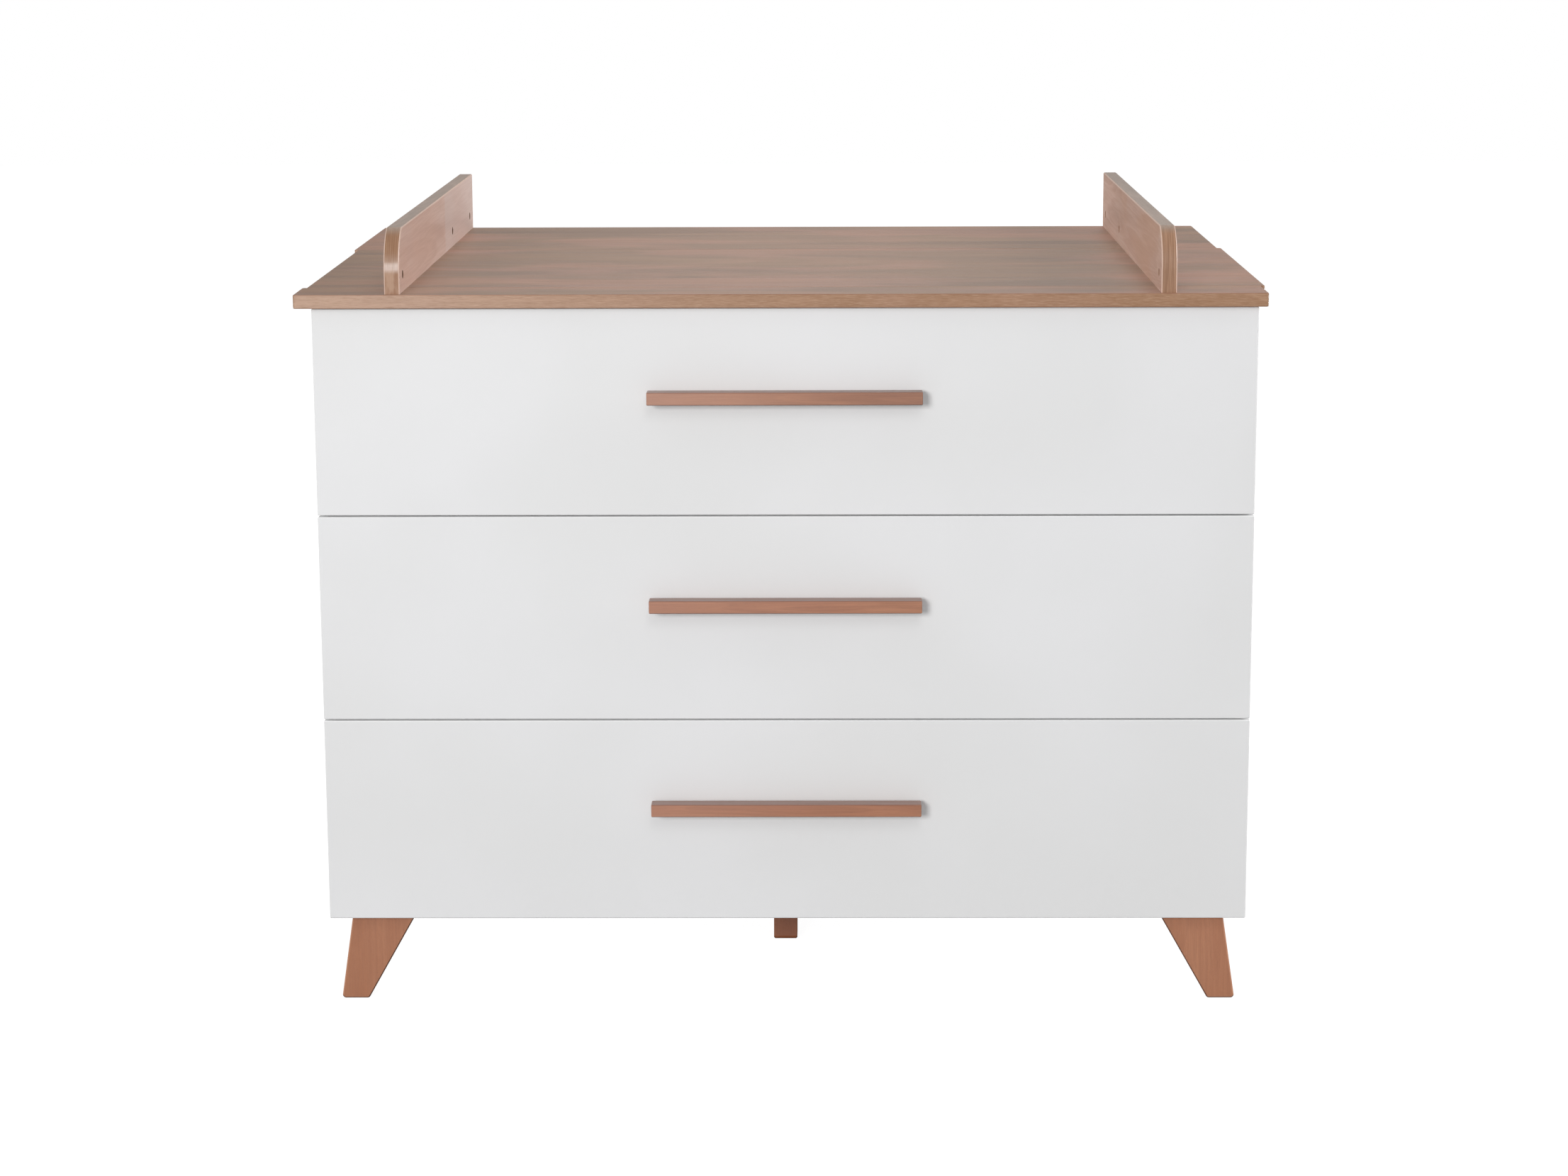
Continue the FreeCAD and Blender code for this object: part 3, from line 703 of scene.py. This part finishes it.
hardboardLook = {
    "clean": colour("#E4E4E3"),
    "dull": colour("#DFDFDD"),
    "cloud": {"scale": 6.0, "detail": 3.0},
    "upWeave": {"stretch": (1, 1, 0.25), "offset": (0, 0, 0), "noise": {"scale": 1400.0, "roughness": 0.6}},
    "crossWeave": {"stretch": (0.25, 0.25, 1), "offset": (0, 0, 0),
                   "noise": {"scale": 1400.0, "roughness": 0.6}},
    "roughness": (0.56, 0.62),
    "bump": {"distance": 0.00005, "strength": 0.6},
}


def makeHardboardFinish(name):
    look = hardboardLook
    material, tree, shader = newMaterial(name)
    point = objectPoint(tree)
    cloud = noise(tree, point, **look["cloud"])
    weave = calculate(tree, "ADD", layerNoise(tree, point, look["upWeave"]),
                      layerNoise(tree, point, look["crossWeave"]))
    feed(tree, shader, {
        "Base Color": mixColour(tree, ramp(tree, cloud, *noiseRange), look["clean"], look["dull"]),
        "Roughness": ramp(tree, cloud, *noiseRange, *look["roughness"]),
        "Normal": bumpFrom(tree, weave, **look["bump"]),
    })
    return material


# Moulded plastic of the strip between the two halves of the back

plasticLook = {
    "clean": colour("#ECECEA"),
    "dull": colour("#E4E4E1"),
    "cloud": {"scale": 30.0},
    "grain": {"scale": 1600.0, "detail": 1.0},
    "roughness": (0.42, 0.52),
    "bump": {"distance": 0.00003, "strength": 0.5},
}


def makePlasticFinish(name):
    look = plasticLook
    material, tree, shader = newMaterial(name)
    point = objectPoint(tree)
    cloud = noise(tree, point, **look["cloud"])
    feed(tree, shader, {
        "Base Color": mixColour(tree, ramp(tree, cloud, *noiseRange), look["clean"], look["dull"]),
        "Roughness": ramp(tree, cloud, *noiseRange, *look["roughness"]),
        "Normal": bumpFrom(tree, noise(tree, point, **look["grain"]), **look["bump"]),
    })
    return material


# Metals: zinc with its mottled plating and rolling lines, satin steel, and the nuts' steel darkened as
# painted shade of their holes

metalLook = {
    "zinc": {"pale": colour("#D4D6D8"), "dark": colour("#C6C9CC"), "roughness": (0.35, 0.43)},
    "satin": {"pale": colour("#BDBDBE"), "dark": colour("#A9AAAC"), "roughness": (0.27, 0.35)},
    # dark nut steel: painted shade of the recessed holes the nuts sit in
    "nut": {"pale": colour("#6A5A50"), "dark": colour("#4D4039"), "roughness": (0.39, 0.47)},
    "mottle": {"scale": 160.0, "detail": 3.0, "roughness": 0.6},
    "mottleRange": (0.35, 0.65),
    "lines": {"stretch": (0.02, 1, 1), "offset": (0, 0, 0), "noise": {"scale": 1500.0, "roughness": 0.6}},
    "lineShare": 0.5,
    "bump": {"distance": 0.00002, "strength": 0.5},
}


def makeMetalFinish(name, metal, rolled):
    # rolled: the axis that the rolling lines follow, then the others
    look = metalLook
    material, tree, shader = newMaterial(name)
    point = objectPoint(tree)
    mottle = noise(tree, point, **look["mottle"])
    lines = layerNoise(tree, turned(tree, point, rolled), look["lines"])
    blend = calculate(tree, "ADD", multiply(tree, mottle, 1 - look["lineShare"]),
                      multiply(tree, lines, look["lineShare"]))
    feed(tree, shader, {
        "Base Color": mixColour(tree, ramp(tree, mottle, *look["mottleRange"]), metal["pale"], metal["dark"]),
        "Metallic": 1.0,
        "Roughness": ramp(tree, blend, *noiseRange, *metal["roughness"]),
        "Normal": bumpFrom(tree, lines, **look["bump"]),
    })
    return material


finishes = {
    "front_strip": makeBoardFinish("oakDecorStrip", boardLook["cuts"]["front_strip"]),
    "dresser_top": makeBoardFinish("oakDecorTop", boardLook["cuts"]["dresser_top"]),
    "rear_board": makeBoardFinish("oakDecorRear", boardLook["cuts"]["rear_board"]),
    "left_rail": makeRailFinish("oakDecorLeftRail", railLook["leftRail"]),
    "right_rail": makeRailFinish("oakDecorRightRail", railLook["rightRail"]),
    "leg": makeBeechFinish("beechLeg", "leg", "ZXY", "Y"),
    "centreLeg": makeBeechFinish("beechCentreLeg", "centreLeg", "ZXY", "X"),
    "handle": makeBeechFinish("beechHandle", "handle", "XZY", "Z"),
    "fronts": makeWhiteFinish("whiteFronts", whiteLook["cuts"]["fronts"]),
    "panels": makeWhiteFinish("whitePanels", whiteLook["cuts"]["panels"]),
    "hardboard": makeHardboardFinish("whiteHardboard"),
    "plastic": makePlasticFinish("whitePlastic"),
    "zinc": makeMetalFinish("zincSteel", metalLook["zinc"], "YXZ"),
    "satin": makeMetalFinish("satinSteel", metalLook["satin"], "YXZ"),
    "nut": makeMetalFinish("shadeDarkenedNutSteel", metalLook["nut"], "XYZ"),
}
print("finishes made:", len(finishes))


def finishFor(name):
    if name in finishes:
        return finishes[name]
    if name == "centre_leg":
        return finishes["centreLeg"]
    if name.endswith("_leg"):
        return finishes["leg"]
    if name.endswith("handle_bar"):
        return finishes["handle"]
    if name.endswith("handle_posts"):
        return finishes["satin"]
    if name == "rail_barrel_nuts":
        return finishes["nut"]
    if "runners" in name or "bolts" in name or "brackets" in name:
        return finishes["zinc"]
    if name == "back_panel_joiner":
        return finishes["plastic"]
    if name.endswith("_back_panel") or name.endswith("_floor"):
        return finishes["hardboard"]
    if name.endswith("_front"):
        return finishes["fronts"]
    return finishes["panels"]


for name, node in nodes.items():
    node.data.materials.clear()
    node.data.materials.append(finishFor(name))
print("finishes on every node")


# Screws: domed heads with a cross recess, all of a kind in one mesh

headShape = {
    # shares of the radius and the height, from the crown to the rim
    "dome": ((0.72, 0.93), (0.93, 0.62), (1.0, 0.22), (1.0, 0.0)),
    "steps": 16,
    "waist": 0.36,  # how near the middle the recess comes between its four arms
    "nearby": 0.02,  # a point this share of the recess off its rim still counts as on it
    "weld": 0.000001,
}


def screwHead(bm, size, place, toward):
    # drawn with its axis on Z, head upwards, then turned to look along toward
    radius, height, recess = size["radius"], size["height"], size["recess"]
    steps, waist = headShape["steps"], headShape["waist"]
    floor = height - size["depth"]
    profile = [(0, floor), (recess, floor), (recess, height)]
    profile += [(radius * out, height * up) for out, up in headShape["dome"]]
    points = [bm.verts.new((x, 0, z)) for x, z in profile]
    edges = [bm.edges.new(both) for both in zip(points, points[1:])]
    before = set(bm.verts) - set(points)
    bmesh.ops.spin(bm, geom=points + edges, cent=(0, 0, 0), axis=(0, 0, 1), angle=math.tau, steps=steps,
                   use_merge=True)
    made = [v for v in bm.verts if v not in before]
    for vertex in made:
        onRim = abs(math.hypot(vertex.co.x, vertex.co.y) - recess) < recess * headShape["nearby"]
        step = round(math.atan2(vertex.co.y, vertex.co.x) / math.tau * steps)
        if onRim and step % (steps // 4):  # all but the ends of the four arms
            vertex.co.x *= waist
            vertex.co.y *= waist
    bmesh.ops.remove_doubles(bm, verts=made, dist=headShape["weld"])
    made = [v for v in bm.verts if v not in before]
    way = Vector(toward).to_track_quat("Z", "Y").to_matrix().to_4x4()
    bmesh.ops.transform(bm, matrix=Matrix.Translation(place) @ way, verts=made)


def screwGroup(name, size, places, body):
    bm = bmesh.new()
    for place, toward in places:
        screwHead(bm, size, place, toward)
    bmesh.ops.recalc_face_normals(bm, faces=bm.faces)
    mesh = bpy.data.meshes.new(name)
    bm.to_mesh(mesh)
    bm.free()
    group = bpy.data.objects.new(name, mesh)
    scene.collection.objects.link(group)
    mesh.materials.append(finishes["zinc"])
    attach(group, body)


# Brackets: two screws up into the rear board and two into the back of the dresser, on each strip

bracketScrew = {
    "radius": 0.0042, "height": 0.0026, "recess": 0.0020, "depth": 0.0014,
    "sheet": 0.0025,
    "fromEnd": 0.02,
    "behindBack": (0.042, 0.092),
    "underBoard": (0.020, 0.038),
}


def bracketScrewPlaces(screw):
    low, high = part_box("rear_board_brackets")
    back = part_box("rear_top_stretcher")[1].y
    sheet = screw["sheet"]
    places = []
    for x in (low.x + screw["fromEnd"], high.x - screw["fromEnd"]):
        for reach in screw["behindBack"]:
            places.append(((x, back + reach, high.z - sheet), (0, 0, -1)))
        for drop in screw["underBoard"]:
            places.append(((x, back + sheet, high.z - drop), (0, 1, 0)))
    return places


screwGroup("bracket_screws", bracketScrew, bracketScrewPlaces(bracketScrew), "carcass")
print("bracket screws placed")


# Handles: one screw through the front into each post

handleScrew = {"radius": 0.0046, "height": 0.0024, "recess": 0.0021, "depth": 0.0013}


def handleScrewPlaces(drawer):
    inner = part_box(drawer + "_front")[1].y
    low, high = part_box(drawer + "_handle_posts")
    height = (low.z + high.z) / 2
    inset = (high.z - low.z) / 2
    return [((x, inner, height), (0, 1, 0)) for x in (low.x + inset, high.x - inset)]


# Runners: three screws through each inner member into the drawer side

runnerScrew = {
    "radius": 0.0035, "height": 0.0016, "recess": 0.0016, "depth": 0.0009,
    "sheet": 0.0012,
    "along": (0.045, 0.165, 0.33),
}


def runnerScrewPlaces(drawer, screw):
    low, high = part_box(drawer + "_runners")
    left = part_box(drawer + "_left_side")[0].x - screw["sheet"]
    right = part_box(drawer + "_right_side")[1].x + screw["sheet"]
    height = (low.z + high.z) / 2
    places = []
    for reach in screw["along"]:
        places.append(((left, low.y + reach, height), (-1, 0, 0)))
        places.append(((right, low.y + reach, height), (1, 0, 0)))
    return places


for drawer in ("drawer_1", "drawer_2", "drawer_3"):
    screwGroup(drawer + "_handle_screws", handleScrew, handleScrewPlaces(drawer), drawer)
    screwGroup(drawer + "_runner_screws", runnerScrew, runnerScrewPlaces(drawer, runnerScrew), drawer)
print("drawer screws placed")
